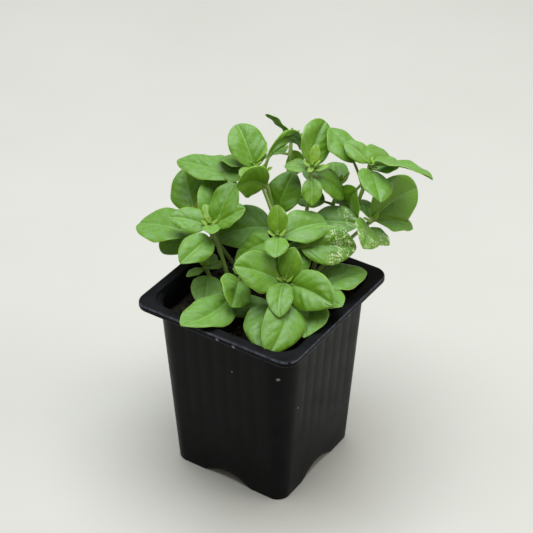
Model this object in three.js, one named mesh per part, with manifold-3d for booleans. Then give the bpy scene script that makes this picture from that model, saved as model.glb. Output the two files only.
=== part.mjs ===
// A potted Greek basil: a square plastic nursery pot, its soil and fourteen leafy stems.
// Millimetres, +Z up, on the surface that it stands on. The pot and the plant are built round the
// pot's upright middle line, and the whole is then set so that the origin is under its middle.

import * as THREE from "three";
import { mergeVertices } from "three/addons/utils/BufferGeometryUtils.js";
import Module from "manifold-3d";

const wasm = await Module();
wasm.setup();

// Driving dimensions of the pot
const potWidth = 90;
const potHeight = 100;
const flangeWidth = 5;
const lipDrop = 3;
const plastic = 1.2;
const wallHalfTop = 39.2;
const wallHalfBottom = 32.6;
const outerCorner = 7.5;
const openingCorner = 9;
const wallCornerTop = 13;
const wallCornerBottom = 6.8;
const floorUnderside = 6.5;
const floorThickness = 1.5;
const footArchHalf = 14;
const footArchHeight = 5;
const lipRound = 1.2;
const lipShoulder = 0.36;
const drainRadius = 4;
const drainSpacing = 16;
const drainSides = 12;

// Driving dimensions of the soil and of the plant
const soilLevel = 88;
const soilGap = 0.3;
const soilSwell = 0.63;
const soilRipple = 0.315;
const soilRings = [1, 0.82, 0.62, 0.4, 0.18];
const stemRadiusBelow = 1.2;
const stemRadiusAbove = 0.75;
const stemSunk = 9;
const stemUpright = 1.5;
const stemSides = 6;
const stemHoleSides = 8;
const stemSteps = 5;
const bladeThickness = 0.7;

// Lengths of leaves, stalks included, at which their form changes
const tinyLeaf = 9;
const smallLeaf = 13;
const mediumLeaf = 21;
const youngLeaf = 8;
const grownLeaf = 28;
const longLeaf = 38;

// A stalk's share of its leaf's length grows down the stem, and the longest leaves have long stalks
const stalkShare = 0.07;
const stalkShareGain = 0.012;
const stalkGainEnds = 12;
const longStalkShare = 0.28;
const stalkRadius = 0.5;
const stalkRadiusGain = 0.35;
const stalkIntoBlade = 0.12;

// A leaf's breadth is a share of its blade's length
const leafBreadth = 0.8;
const smallLeafBreadth = 0.62;

// Degrees: a leaf arches down along its midrib, is folded up along it, and rolls about it
const tinyArch = -10;
const youngArch = 12;
const grownArch = 38;
const tinyFold = 26;
const leastFold = 14;
const mostFold = 24;
const rollSpread = 16;

// The halves of a blade curl down towards their edges, and its midrib sways to the side
const leastCurl = 0.16;
const mostCurl = 0.32;
const swaySpread = 0.1;

// The leaves turn their upper faces a little towards the light, which comes from this bearing
const lightBearing = -56;
const lightLean = 26;

const floorTop = floorUnderside + floorThickness;
const potHalf = potWidth / 2;
const openingHalf = potHalf - flangeWidth;
const toRadians = Math.PI / 180;
const up = new THREE.Vector3(0, 0, 1);
const { clamp, lerp } = THREE.MathUtils;

// A repeatable number between 0 and 1 for each seed
function chance(seed) {
  const wave = Math.sin(seed * 12.9898) * 43758.5453;
  return wave - Math.floor(wave);
}

// Closed meshes and solids

function closedGeometry(points, triangles) {
  const geometry = new THREE.BufferGeometry();
  const positions = new Float32Array(points.flatMap((point) => [point.x, point.y, point.z]));
  geometry.setAttribute("position", new THREE.BufferAttribute(positions, 3));
  geometry.setIndex(triangles.flat());
  return geometry;
}

// Skins a stack of rings of equal length, and closes both ends with a fan
function loft(rings) {
  const count = rings[0].length;
  const triangles = [];
  for (let row = 0; row < rings.length - 1; row += 1) {
    for (let k = 0; k < count; k += 1) {
      const next = (k + 1) % count;
      const lower = row * count;
      const upper = lower + count;
      triangles.push([lower + k, lower + next, upper + next]);
      triangles.push([lower + k, upper + next, upper + k]);
    }
  }
  const last = (rings.length - 1) * count;
  for (let k = 1; k < count - 1; k += 1) {
    triangles.push([0, k + 1, k]);
    triangles.push([last, last + k, last + k + 1]);
  }
  return closedGeometry(rings.flat(), triangles);
}

function toSolid(geometry) {
  const bare = geometry.clone();
  bare.deleteAttribute("normal");
  bare.deleteAttribute("uv");
  const merged = mergeVertices(bare);
  const mesh = new wasm.Mesh({
    numProp: 3,
    vertProperties: new Float32Array(merged.attributes.position.array),
    triVerts: new Uint32Array(merged.index.array),
  });
  return new wasm.Manifold(mesh);
}

function fromSolid(solid) {
  const mesh = solid.getMesh();
  const geometry = new THREE.BufferGeometry();
  geometry.setAttribute("position", new THREE.BufferAttribute(mesh.vertProperties, 3));
  geometry.setIndex(new THREE.BufferAttribute(mesh.triVerts, 1));
  return geometry;
}

function named(name, geometry, material) {
  const flat = geometry.toNonIndexed();
  flat.computeVertexNormals();
  const mesh = new THREE.Mesh(flat, material);
  mesh.name = name;
  return mesh;
}

function uprightCylinder(radius, bottom, top, x, y, sides) {
  const geometry = new THREE.CylinderGeometry(radius, radius, top - bottom, sides);
  geometry.rotateX(Math.PI / 2);
  geometry.translate(x, y, (top + bottom) / 2);
  return toSolid(geometry);
}

// Rounded squares, with points along each side where the foot arches are

const cornerSteps = 4;
const archStations = [-1, -0.5, 0, 0.5, 1].map((share) => share * footArchHalf);

function roundedSquare(half, corner, height) {
  const ring = [];
  for (let side = 0; side < 4; side += 1) {
    const turn = (side * Math.PI) / 2;
    const place = (x, y) => {
      const across = x * Math.cos(turn) - y * Math.sin(turn);
      const away = x * Math.sin(turn) + y * Math.cos(turn);
      ring.push(new THREE.Vector3(across, away, height(x, y)));
    };
    archStations.forEach((along) => place(half, along));
    for (let step = 0; step <= cornerSteps; step += 1) {
      const angle = (step / cornerSteps) * (Math.PI / 2);
      const centre = half - corner;
      place(centre + corner * Math.cos(angle), centre + corner * Math.sin(angle));
    }
  }
  return ring;
}

const level = (z) => () => z;

function footArch(x, y) {
  const inside = Math.abs(y) < footArchHalf && x > 0;
  return inside ? footArchHeight * Math.cos(((y / footArchHalf) * Math.PI) / 2) : 0;
}

// Half-width and corner radius of the wall's outside at a height
function wallAt(z) {
  const share = z / (potHeight - lipDrop);
  return {
    half: wallHalfBottom + (wallHalfTop - wallHalfBottom) * share,
    corner: wallCornerBottom + (wallCornerTop - wallCornerBottom) * share,
  };
}

// One skin from the underside, down the skirt, up the outside, over the flange and down the inside
function potSolid() {
  const ring = roundedSquare;
  const inner = (z) => [wallAt(z).half - plastic, wallAt(z).corner - plastic, level(z)];
  const wallTop = wallAt(potHeight - lipDrop);
  const underFlange = potHeight - plastic;
  const skin = loft([
    ring(...inner(floorUnderside)),
    ring(wallHalfBottom - plastic, wallCornerBottom - plastic, footArch),
    ring(wallHalfBottom, wallCornerBottom, footArch),
    ring(wallAt(potHeight / 2).half, wallAt(potHeight / 2).corner, level(potHeight / 2)),
    ring(wallTop.half, wallTop.corner, level(underFlange)),
    ring(potHalf - plastic, outerCorner - plastic, level(underFlange)),
    ring(potHalf - plastic, outerCorner - plastic, level(potHeight - lipDrop)),
    ring(potHalf, outerCorner, level(potHeight - lipDrop)),
    ring(potHalf, outerCorner, level(potHeight - lipRound)),
    ring(potHalf - lipShoulder, outerCorner - lipShoulder, level(potHeight - lipShoulder)),
    ring(potHalf - lipRound, outerCorner - lipRound, level(potHeight)),
    ring(openingHalf, openingCorner, level(potHeight)),
    ring(openingHalf - plastic / 2, openingCorner + plastic / 2, level(potHeight - plastic)),
    ring(...inner(potHeight - lipDrop)),
    ring(...inner(floorTop)),
  ]);
  let solid = toSolid(skin);
  const drains = [[0, 0], [1, 1], [1, -1], [-1, 1], [-1, -1]];
  for (const [sideways, away] of drains) {
    const x = sideways * drainSpacing;
    const y = away * drainSpacing;
    solid = solid.subtract(uprightCylinder(drainRadius, floorUnderside - 1, floorTop + 1, x, y, drainSides));
  }
  return solid;
}

// The soil's surface is gently uneven: a slow swell, and a quicker ripple across it
function soilHeight(x, y) {
  const swell = Math.sin(x * 0.16 + 1.2) * Math.cos(y * 0.13 - 0.6);
  const ripple = Math.sin(x * 0.37 + y * 0.31);
  return soilLevel + soilSwell * swell + soilRipple * ripple;
}

function soilSolid(stems) {
  const side = (z) => {
    const wall = wallAt(z);
    return [wall.half - plastic - soilGap, wall.corner - plastic - soilGap];
  };
  const edge = roundedSquare(...side(soilLevel), level(soilLevel));
  const inwards = (share) => edge.map((point) => {
    const x = point.x * share;
    const y = point.y * share;
    return new THREE.Vector3(x, y, soilHeight(x, y));
  });
  const rings = [
    roundedSquare(...side(floorTop), level(floorTop + soilGap)),
    ...soilRings.map(inwards),
  ];
  let solid = toSolid(loft(rings));
  const bottom = soilLevel - stemSunk - soilGap;
  for (const stem of stems) {
    const hole = uprightCylinder(stemRadiusBelow + soilGap, bottom, potHeight, ...stem.root, stemHoleSides);
    solid = solid.subtract(hole);
  }
  return solid;
}

// Stems: each rises from its root in the soil to its crown. A pair of leaves is written as
// pair(distance down the stem from the crown, bearing of the first leaf in degrees, first leaf,
// second leaf, how far the second is off the opposite bearing), and a leaf as
// leaf(rise in degrees, length with its stalk, what is particular to it).

const leaf = (rise, length, particular = {}) => ({ rise, length, ...particular });
const pair = (below, bearing, first, second, skew = 0) => ({
  below,
  bearing,
  leaves: [first, second],
  skew,
});
const tip = (bearing) => pair(1.2, bearing, leaf(55, 5.5), leaf(50, 5.5));
const shadedTip = (bearing) => pair(1.2, bearing, leaf(55, 9), leaf(50, 9));

const stems = [
  {
    name: "stem_front", root: [12, -2], crown: [17, -7, 115], bow: 0.6,
    pairs: [
      tip(25),
      pair(1, 92, leaf(58, 17, { twist: 10 }), leaf(-14, 23, { breadth: 0.68 }), 24),
      pair(3, 222, leaf(28, 28, { breadth: 0.9 }), leaf(0, 29, { twist: 25 }), -46),
      pair(6, 101, leaf(26, 26), leaf(-18, 40, { stalk: 7, breadth: 0.66, twist: -15, sway: 0.12 }), 11),
      pair(13, 287, leaf(-11, 36, { stalk: 8, twist: 20, sway: -0.08 }), null),
      pair(21, 208, leaf(-12, 30, { breadth: 0.65, twist: 12 }), null),
    ],
  },
  {
    name: "stem_centre", root: [3, 5], crown: [6, 3, 131], bow: 0.6,
    pairs: [
      tip(40),
      pair(1, 124, leaf(60, 15), leaf(-4, 17), -4),
      pair(4, 60, leaf(4, 28), leaf(-36, 26), -38),
      pair(10, 200, leaf(-2, 12), leaf(-3, 40, { twist: 12 }), 21),
    ],
  },
  {
    name: "stem_left", root: [-15, -5], crown: [-29, -3, 128], bow: 0.2,
    pairs: [
      tip(45),
      pair(1, 143, leaf(37, 11), leaf(15, 14), -13),
      pair(3, 204, leaf(12, 22), leaf(37, 21), 4),
      pair(6, 90, leaf(47, 29, { breadth: 0.74, twist: -18 }), leaf(-7, 26, { breadth: 0.75 }), -5),
      pair(11, 183, leaf(-4, 47, { twist: 10 }), null),
      pair(15, 126, leaf(36, 42, { breadth: 0.75, twist: 18 }), null),
    ],
  },
  {
    name: "stem_low_left", root: [-24, -4], crown: [-31, -5, 103], bow: 0.5,
    pairs: [
      tip(120),
      pair(2, 60, leaf(5, 11), leaf(-5, 11)),
      pair(4, 300, leaf(-12, 23), leaf(10, 14)),
    ],
  },
  {
    name: "stem_front_left", root: [-15, -10], crown: [-8, -5, 108], bow: 0.2,
    pairs: [
      tip(20),
      pair(3, 296, leaf(3, 27, { twist: -30 }), leaf(10, 12)),
      pair(7, 269, leaf(2, 44, { stalk: 10, breadth: 0.66, twist: -3, arch: -11, sway: 0.12 }), null),
    ],
  },
  {
    name: "stem_back_left", root: [7, 11], crown: [-22, 24, 150], bow: -0.1,
    pairs: [
      tip(15),
      pair(1, 92, leaf(32, 14, { twist: -40 }), leaf(0, 12), -1),
      pair(3, 168, leaf(-7, 24, { twist: 20 }), null),
      pair(5, 152, leaf(40, 28), null),
      pair(8, 174, leaf(-5, 25, { twist: 12 }), null),
      pair(9.5, 182, leaf(-2, 50, { breadth: 0.62, arch: 12, twist: 10 }), null),
    ],
  },
  {
    name: "stem_top", root: [1, 19], crown: [-15, 23, 149], bow: 0.3,
    pairs: [
      tip(20),
      pair(2, 84, leaf(1, 43, { stalk: 8, twist: 65, arch: 176, breadth: 0.22 }), null),
      pair(28, 90, leaf(54, 28, { breadth: 0.88, arch: 41 }), null),
      pair(30, 213, leaf(-12, 31, { stalk: 2.5, breadth: 0.92, twist: 10 }), null),
      pair(10.5, 250, leaf(26, 23, { stalk: 4, breadth: 1.0, arch: 81, twist: -77 }), null),
    ],
  },
  {
    name: "stem_back", root: [9, 17], crown: [5, 35, 153], bow: 0.5,
    pairs: [
      tip(30),
      pair(1, 106, leaf(50, 11), leaf(0, 6)),
      pair(3, 193, leaf(-3, 14), leaf(20, 9), 14),
      pair(5, 106, leaf(33, 30, { breadth: 0.76, twist: 35 }), leaf(-42, 16), 19),
      pair(6, 35, leaf(-40, 22.5, { breadth: 0.76, arch: 55, twist: -4 }), null),
      pair(29, 20, leaf(5, 27, { stalk: 3, arch: 10, breadth: 0.79 }), null),
    ],
  },
  {
    name: "stem_back_right", root: [15, 13], crown: [28, 51, 153], bow: 0.8,
    pairs: [
      tip(130),
      pair(1, 180, leaf(27, 17), leaf(0, 33, { twist: -55 }), 9),
      pair(3, 96, leaf(-16, 27, { breadth: 0.86, twist: 18 }), leaf(-8, 26, { twist: -25 }), 37),
      pair(5, 66, leaf(-3, 19), null),
      pair(11, 213, leaf(-82, 28, { breadth: 0.92, arch: 94, twist: -5 }), null),
      pair(15, 162, leaf(40, 35, { stalk: 13, breadth: 0.94, arch: 40, twist: 33 }), null),
    ],
  },
  {
    name: "stem_right", root: [14, 6], crown: [36, 42, 129], bow: 0.2,
    pairs: [
      tip(60),
      pair(1, 134, leaf(8, 16, { twist: 20 }), leaf(-16, 22, { twist: -15 }), 87),
      pair(3, 77, leaf(8, 37, { twist: 40 }), leaf(4, 24, { twist: -50 }), 39),
      pair(6, 8, leaf(-19, 16), null),
    ],
  },
  {
    name: "stem_front_right", root: [20, -8], crown: [27, 6, 106], bow: 0.5,
    pairs: [
      tip(150),
      pair(2, 60, leaf(6, 29, { twist: -20 }), null),
      pair(4, -20, leaf(16, 24), null),
      pair(5, 296, leaf(-7, 29), leaf(15, 12)),
    ],
  },
  {
    name: "stem_far_left", root: [-17, 10], crown: [-49, 11, 120], bow: 0.4,
    pairs: [
      shadedTip(60),
      pair(3, 141, leaf(34, 27, { breadth: 0.85, arch: -12, twist: -25 }), leaf(0, 12)),
      pair(7, 235, leaf(-30, 26), leaf(10, 16)),
    ],
  },
  {
    name: "stem_far_back", root: [-6, 22], crown: [-20, 56, 151], bow: 0.5,
    pairs: [
      tip(30),
      pair(2, 197, leaf(40, 18, { twist: 73, breadth: 0.5, arch: 20 }), leaf(10, 12)),
      pair(6, 348, leaf(-76, 16, { breadth: 0.85 }), null),
      pair(10, 155, leaf(-29, 25, { breadth: 0.85 }), null),
    ],
  },
  {
    name: "stem_far_right", root: [11, 23], crown: [12, 50, 138], bow: 0.5,
    pairs: [
      shadedTip(10),
      pair(2, 190, leaf(10, 20), null),
      pair(6, 305, leaf(-12, 8), leaf(8, 24)),
      pair(12, 200, leaf(0, 20), null),
    ],
  },
];

function stemCurve(stem) {
  const foot = new THREE.Vector3(...stem.root, soilLevel + stemUpright);
  const crown = new THREE.Vector3(...stem.crown);
  const lean = crown.clone().sub(foot);
  const middle = foot.clone().add(lean.clone().multiply(new THREE.Vector3(stem.bow, stem.bow, 0.5)));
  return new THREE.QuadraticBezierCurve3(foot, middle, crown);
}

// The rule that gives each leaf its breadth, arch, fold, curl, sway and roll from its place and length
function grownLeaves(stem, stemIndex) {
  const curve = stemCurve(stem);
  const stemLength = curve.getLength();
  const grown = [];
  stem.pairs.forEach((row, pairIndex) => {
    row.leaves.forEach((one, side) => {
      if (one === null) return;
      const seed = stemIndex * 40 + pairIndex * 2 + side + 1;
      const bearing = row.bearing + side * (180 + row.skew);
      const growth = clamp((one.length - youngLeaf) / (grownLeaf - youngLeaf), 0, 1);
      const shortStalk = stalkShare + stalkShareGain * Math.min(row.below, stalkGainEnds);
      const stalk = one.stalk ?? one.length * (one.length < longLeaf ? shortStalk : longStalkShare);
      const blade = one.length - stalk;
      const tiny = one.length <= tinyLeaf;
      const usualBreadth = one.length > smallLeaf ? leafBreadth : smallLeafBreadth;
      const archGain = (grownArch - youngArch) * growth * (0.6 + 0.8 * chance(seed + 0.3));
      const usualArch = tiny ? tinyArch : youngArch + archGain;
      const shade = Math.sin((lightBearing - bearing) * toRadians);
      grown.push({
        at: curve.getPoint(1 - row.below / stemLength),
        bearing,
        rise: one.rise,
        stalk,
        blade,
        breadth: blade * (one.breadth ?? usualBreadth) * (0.92 + 0.16 * chance(seed)),
        arch: one.arch ?? usualArch,
        fold: tiny ? tinyFold : lerp(leastFold, mostFold, chance(seed + 0.6)),
        curl: lerp(leastCurl, mostCurl, chance(seed + 0.8)),
        sway: one.sway ?? (chance(seed + 0.9) - 0.5) * swaySpread,
        roll: (one.twist ?? 0)
          + (chance(seed + 0.5) - 0.5) * rollSpread * growth
          - lightLean * shade * (0.3 + 0.7 * growth),
      });
    });
  });
  return grown;
}

// Half the blade's width, 0 at its base and its tip, widest a little before the middle
const baseFullness = 0.62;
const tipFullness = 0.8;
const widestAt = baseFullness / (baseFullness + tipFullness);
const widest = widestAt ** baseFullness * (1 - widestAt) ** tipFullness;

function halfBreadth(one, along) {
  const inside = clamp(along, 0, 1);
  return ((one.breadth / 2) * inside ** baseFullness * (1 - inside) ** tipFullness) / widest;
}

// The leaf's own directions at a share of its blade: along, across and out of its upper face.
// A negative share is on the stalk.
function leafFrame(one, along) {
  const bearing = one.bearing * toRadians;
  const outward = new THREE.Vector3(Math.cos(bearing), Math.sin(bearing), 0);
  const sideways = new THREE.Vector3(-Math.sin(bearing), Math.cos(bearing), 0);
  const whole = one.stalk + one.blade;
  const share = (one.stalk + along * one.blade) / whole;
  const arch = one.arch * toRadians;
  const start = one.rise * toRadians + arch / 2;
  const slope = start - arch * share;
  const bend = whole / arch;
  const centre = one.at.clone()
    .addScaledVector(outward, bend * (Math.sin(start) - Math.sin(slope)))
    .addScaledVector(up, bend * (Math.cos(slope) - Math.cos(start)))
    .addScaledVector(sideways, one.sway * whole * 4 * share * (1 - share));
  const flatLift = up.clone().multiplyScalar(Math.cos(slope)).addScaledVector(outward, -Math.sin(slope));
  const roll = one.roll * toRadians;
  const across = sideways.clone().multiplyScalar(Math.cos(roll)).addScaledVector(flatLift, Math.sin(roll));
  const lift = flatLift.clone().multiplyScalar(Math.cos(roll)).addScaledVector(sideways, -Math.sin(roll));
  return { centre, across, lift };
}

// A point of the blade: along from base 0 to tip 1, across from edge -1 to edge 1, above its middle layer
function leafPoint(one, along, across, above) {
  const frame = leafFrame(one, along);
  const reach = Math.abs(across) * halfBreadth(one, along);
  const fold = one.fold * toRadians;
  const curl = (one.curl * reach * reach) / Math.max(one.breadth / 2, 1);
  return frame.centre
    .addScaledVector(frame.across, Math.sign(across) * reach * Math.cos(fold))
    .addScaledVector(frame.lift, reach * Math.sin(fold) - curl + above);
}

// The blade as a closed thin solid, split into triangles alike on both faces
function bladeGeometry(one) {
  const acrosses = [-1, 0, 1];
  let alongs = [0, 0.1, 0.28, 0.5, 0.76, 1];
  if (one.blade <= mediumLeaf) alongs = [0, 0.12, 0.42, 0.74, 1];
  if (one.blade <= smallLeaf) alongs = [0, 0.18, 0.55, 1];
  if (one.blade <= tinyLeaf) alongs = [0, 0.35, 1];
  const grid = (above) => alongs.flatMap((u) => acrosses.map((v) => leafPoint(one, u, v, above)));
  const points = [...grid(bladeThickness / 2), ...grid(-bladeThickness / 2)];
  const rows = alongs.length;
  const columns = acrosses.length;
  const under = rows * columns;
  const triangles = [];
  for (let i = 0; i < rows - 1; i += 1) {
    for (let j = 0; j < columns - 1; j += 1) {
      const near = i * columns + j;
      const far = near + columns;
      triangles.push([near, far, far + 1], [near, far + 1, near + 1]);
      triangles.push([under + near, under + far + 1, under + far]);
      triangles.push([under + near, under + near + 1, under + far + 1]);
    }
  }
  const edge = [];
  for (let j = 0; j < columns; j += 1) edge.push(j);
  for (let i = 1; i < rows; i += 1) edge.push(i * columns + columns - 1);
  for (let j = columns - 2; j >= 0; j -= 1) edge.push((rows - 1) * columns + j);
  for (let i = rows - 2; i > 0; i -= 1) edge.push(i * columns);
  edge.forEach((here, k) => {
    const next = edge[(k + 1) % edge.length];
    triangles.push([here, next, under + next], [here, under + next, under + here]);
  });
  return closedGeometry(points, triangles);
}

// A tube of changing radius along a list of points
function tubeGeometry(points, radii, sides) {
  const rings = points.map((point, i) => {
    const before = points[Math.max(i - 1, 0)];
    const after = points[Math.min(i + 1, points.length - 1)];
    const along = after.clone().sub(before).normalize();
    const aside = Math.abs(along.x) < 0.8 ? new THREE.Vector3(1, 0, 0) : new THREE.Vector3(0, 1, 0);
    const first = along.clone().cross(aside).normalize();
    const second = along.clone().cross(first);
    const ring = [];
    for (let k = 0; k < sides; k += 1) {
      const angle = (k / sides) * 2 * Math.PI;
      const spoke = first.clone().multiplyScalar(Math.cos(angle)).addScaledVector(second, Math.sin(angle));
      ring.push(point.clone().addScaledVector(spoke, radii[i]));
    }
    return ring;
  });
  return loft(rings);
}

function stemSolid(stem) {
  const curve = stemCurve(stem);
  const points = [new THREE.Vector3(...stem.root, soilLevel - stemSunk)];
  const radii = [stemRadiusBelow];
  for (let step = 0; step <= stemSteps; step += 1) {
    points.push(curve.getPoint(step / stemSteps));
    radii.push(lerp(stemRadiusBelow, stemRadiusAbove, step / stemSteps));
  }
  return toSolid(tubeGeometry(points, radii, stemSides));
}

// The stalk runs from inside the stem to a little way along the blade's midrib
function stalkSolid(one) {
  const shares = [-one.stalk / one.blade, 0, stalkIntoBlade];
  const points = shares.map((share) => leafFrame(one, share).centre);
  const radius = stalkRadius + stalkRadiusGain * Math.min(one.blade / grownLeaf, 1);
  return toSolid(tubeGeometry(points, points.map(() => radius), 3));
}

function leafyStemSolid(stem, stemIndex) {
  let solid = stemSolid(stem);
  for (const one of grownLeaves(stem, stemIndex)) {
    if (one.stalk > stemRadiusAbove) solid = solid.add(stalkSolid(one));
    solid = solid.add(toSolid(bladeGeometry(one)));
  }
  return solid;
}

// Materials
const potPlastic = new THREE.MeshStandardMaterial({ color: 0x191b1e, roughness: 0.45, metalness: 0 });
const pottingSoil = new THREE.MeshStandardMaterial({ color: 0x211811, roughness: 0.95, metalness: 0 });
const foliage = new THREE.MeshStandardMaterial({ color: 0x5d9a36, roughness: 0.5, metalness: 0 });

const pottedBasil = new THREE.Group();
pottedBasil.add(named("pot", fromSolid(potSolid()), potPlastic));
pottedBasil.add(named("soil", fromSolid(soilSolid(stems)), pottingSoil));
stems.forEach((stem, stemIndex) => {
  pottedBasil.add(named(stem.name, fromSolid(leafyStemSolid(stem, stemIndex)), foliage));
});

// The plant leans to the back, so the pot stands a little in front of the origin
const middle = new THREE.Box3().setFromObject(pottedBasil).getCenter(new THREE.Vector3());
pottedBasil.position.set(-middle.x, -middle.y, 0);

export default pottedBasil;
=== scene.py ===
# A potted Greek basil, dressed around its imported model: fine leaves and stems, crumbly soil, moulded pot.
# Shapes are worked out in millimetres round the pot's upright middle line, as the solids are, and are
# then set in the frame in metres.

import math
from types import SimpleNamespace

import bmesh
import bpy
import numpy as np
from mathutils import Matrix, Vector, noise


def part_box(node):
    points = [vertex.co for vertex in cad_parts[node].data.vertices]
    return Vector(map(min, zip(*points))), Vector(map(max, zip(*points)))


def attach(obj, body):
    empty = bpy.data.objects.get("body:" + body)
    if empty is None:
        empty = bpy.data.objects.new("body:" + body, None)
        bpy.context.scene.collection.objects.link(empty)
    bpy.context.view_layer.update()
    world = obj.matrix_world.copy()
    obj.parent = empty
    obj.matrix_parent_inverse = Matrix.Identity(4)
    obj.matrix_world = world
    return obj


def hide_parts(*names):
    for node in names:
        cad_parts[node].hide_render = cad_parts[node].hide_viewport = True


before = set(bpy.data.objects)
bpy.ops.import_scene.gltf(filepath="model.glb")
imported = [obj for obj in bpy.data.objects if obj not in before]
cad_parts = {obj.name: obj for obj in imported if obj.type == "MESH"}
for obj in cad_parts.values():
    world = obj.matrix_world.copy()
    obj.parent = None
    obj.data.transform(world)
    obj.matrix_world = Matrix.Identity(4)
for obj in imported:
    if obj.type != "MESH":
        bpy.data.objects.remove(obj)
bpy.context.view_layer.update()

MM = 0.001
pot_low, pot_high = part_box("pot")
POT_MIDDLE = np.array([(pot_low.x + pot_high.x) / 2, (pot_low.y + pot_high.y) / 2, 0.0])
UP = np.array([0.0, 0.0, 1.0])

# The pot, in millimetres
POT_HALF = 45
POT_HEIGHT = 100
FLANGE = 5
LIP_DROP = 3
PLASTIC = 1.2
WALL_HALF_TOP = 39.2
WALL_HALF_BOTTOM = 32.6
OUTER_CORNER = 7.5
OPENING_CORNER = 9
WALL_CORNER_TOP = 13
WALL_CORNER_BOTTOM = 6.8
FLOOR_UNDERSIDE = 6.5
FLOOR_TOP = 8
FOOT_ARCH_HALF = 14
FOOT_ARCH_HEIGHT = 5
LIP_ROUND = 1.2
OPENING_ROUND = 0.7
DRAIN_RADIUS = 4
DRAIN_SPACING = 16
FLUTE_PITCH = 7.8
FLUTE_DEPTH = 0.13
FLUTE_SIDE = 27
SIDE_STATIONS = 61
CORNER_STEPS = 14

# The soil and the stems, in millimetres
SOIL_LEVEL = 88
SOIL_GAP = 0.3
SOIL_SWELL = 0.63
SOIL_RIPPLE = 0.315
STEM_RADIUS_BELOW = 1.2
STEM_RADIUS_ABOVE = 0.75
STEM_UPRIGHT = 1.5
BLADE_THICKNESS = 0.42

# Lengths of leaves, stalks included, at which their form changes
TINY_LEAF = 9
SMALL_LEAF = 13
YOUNG_LEAF = 8
GROWN_LEAF = 28
LONG_LEAF = 38

# The length of a large leaf's blade
LARGE_BLADE = 24

# A stalk's share of its leaf's length grows down the stem, and the longest leaves have long stalks
STALK_SHARE = 0.07
STALK_SHARE_GAIN = 0.012
STALK_GAIN_ENDS = 12
LONG_STALK_SHARE = 0.28

# A leaf's breadth is a share of its blade's length
LEAF_BREADTH = 0.8
SMALL_LEAF_BREADTH = 0.62

# Degrees: a leaf arches down along its midrib, is folded up along it, and rolls about it
TINY_ARCH = -10
YOUNG_ARCH = 12
GROWN_ARCH = 38
TINY_FOLD = 26
LEAST_FOLD = 14
MOST_FOLD = 24
ROLL_SPREAD = 16

# The halves of a blade curl down towards their edges, and its midrib sways to the side
LEAST_CURL = 0.16
MOST_CURL = 0.32
SWAY_SPREAD = 0.1

# The leaves turn their upper faces a little towards the light, which comes from this bearing
LIGHT_BEARING = -56
LIGHT_LEAN = 26


def in_frame(point):
    """A point round the pot's middle line in millimetres, in the frame in metres."""
    return Vector((np.asarray(point, float) * MM + POT_MIDDLE).tolist())


def chance(seed):
    """A repeatable number between 0 and 1 for each seed."""
    wave = math.sin(seed * 12.9898) * 43758.5453
    return wave - math.floor(wave)


def spread(seed):
    """A repeatable factor between 0.6 and 1.4 for each seed."""
    return 0.6 + 0.8 * chance(seed)


def blend(first, second, share):
    return first + (second - first) * share


def smooth_step(value, low, high):
    """0 below low, 1 above high, and a smooth rise between them."""
    share = np.clip((value - low) / (high - low), 0, 1)
    return share * share * (3 - 2 * share)


# Mesh pieces

MARKS = ("across", "from_rib", "vein", "tone", "youth", "specks")


class Patches:
    """Patches of mesh that become one piece. Each patch has a material and its own marks for the shaders."""

    def __init__(self):
        self.points = []
        self.faces = []
        self.slots = []
        self.marks = {mark: [] for mark in MARKS}
        self.count = 0

    def add(self, points, faces_by_slot, **marks):
        """Adds points and the faces on them, which are given for each material slot."""
        points = np.asarray(points, float).reshape(-1, 3)
        self.points.append(points)
        for slot, faces in faces_by_slot.items():
            self.faces.extend([[corner + self.count for corner in face] for face in faces])
            self.slots.extend([slot] * len(faces))
        for mark, values in self.marks.items():
            values.append(np.broadcast_to(np.ravel(marks.get(mark, 0.0)), len(points)))
        self.count += len(points)

    def piece(self, name, materials):
        mesh = bpy.data.meshes.new(name)
        points = np.concatenate(self.points) * MM + POT_MIDDLE
        mesh.from_pydata(points.tolist(), [], self.faces)
        for material in materials:
            mesh.materials.append(material)
        mesh.polygons.foreach_set("material_index", self.slots)
        mesh.polygons.foreach_set("use_smooth", [True] * len(self.faces))
        for mark, values in self.marks.items():
            values = np.concatenate(values)
            if values.any():
                mesh.attributes.new(mark, "FLOAT", "POINT").data.foreach_set("value", values)
        mesh.update()
        made = bpy.data.objects.new(name, mesh)
        bpy.context.scene.collection.objects.link(made)
        return made


def grid_faces(rows, columns, closed=False):
    """Quads over rows of points, joined round from the last column to the first where closed."""
    faces = []
    for row in range(rows - 1):
        for column in range(columns if closed else columns - 1):
            here = row * columns + column
            beside = row * columns + (column + 1) % columns
            faces.append((here, beside, beside + columns, here + columns))
    return faces


def ring_end(row, columns, facing_back=False):
    """One face over a whole ring of points."""
    ring = range(row * columns, (row + 1) * columns)
    return tuple(reversed(ring)) if facing_back else tuple(ring)


def sweep(points, radii, sides, aside, squareness=0.0):
    """Rings round a line of points. aside is a direction that the line never runs along."""
    points = np.asarray(points, float)
    tangents = np.gradient(points, axis=0)
    tangents /= np.linalg.norm(tangents, axis=1)[:, None]
    first = np.cross(tangents, aside)
    first /= np.linalg.norm(first, axis=1)[:, None]
    second = np.cross(tangents, first)
    angle = np.arange(sides) * 2 * math.pi / sides
    reach = np.asarray(radii, float)[:, None] * (1 + squareness * np.cos(4 * angle))
    around = first[:, None] * np.cos(angle)[:, None] + second[:, None] * np.sin(angle)[:, None]
    return points[:, None] + around * reach[:, :, None]


def add_tube(patches, rings, slot, **marks):
    """A closed skin over a row of rings, with a flat face over its first and its last."""
    rows, sides = rings.shape[:2]
    faces = grid_faces(rows, sides, closed=True)
    faces += [ring_end(0, sides, facing_back=True), ring_end(rows - 1, sides)]
    patches.add(rings, {slot: faces}, **marks)


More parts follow.
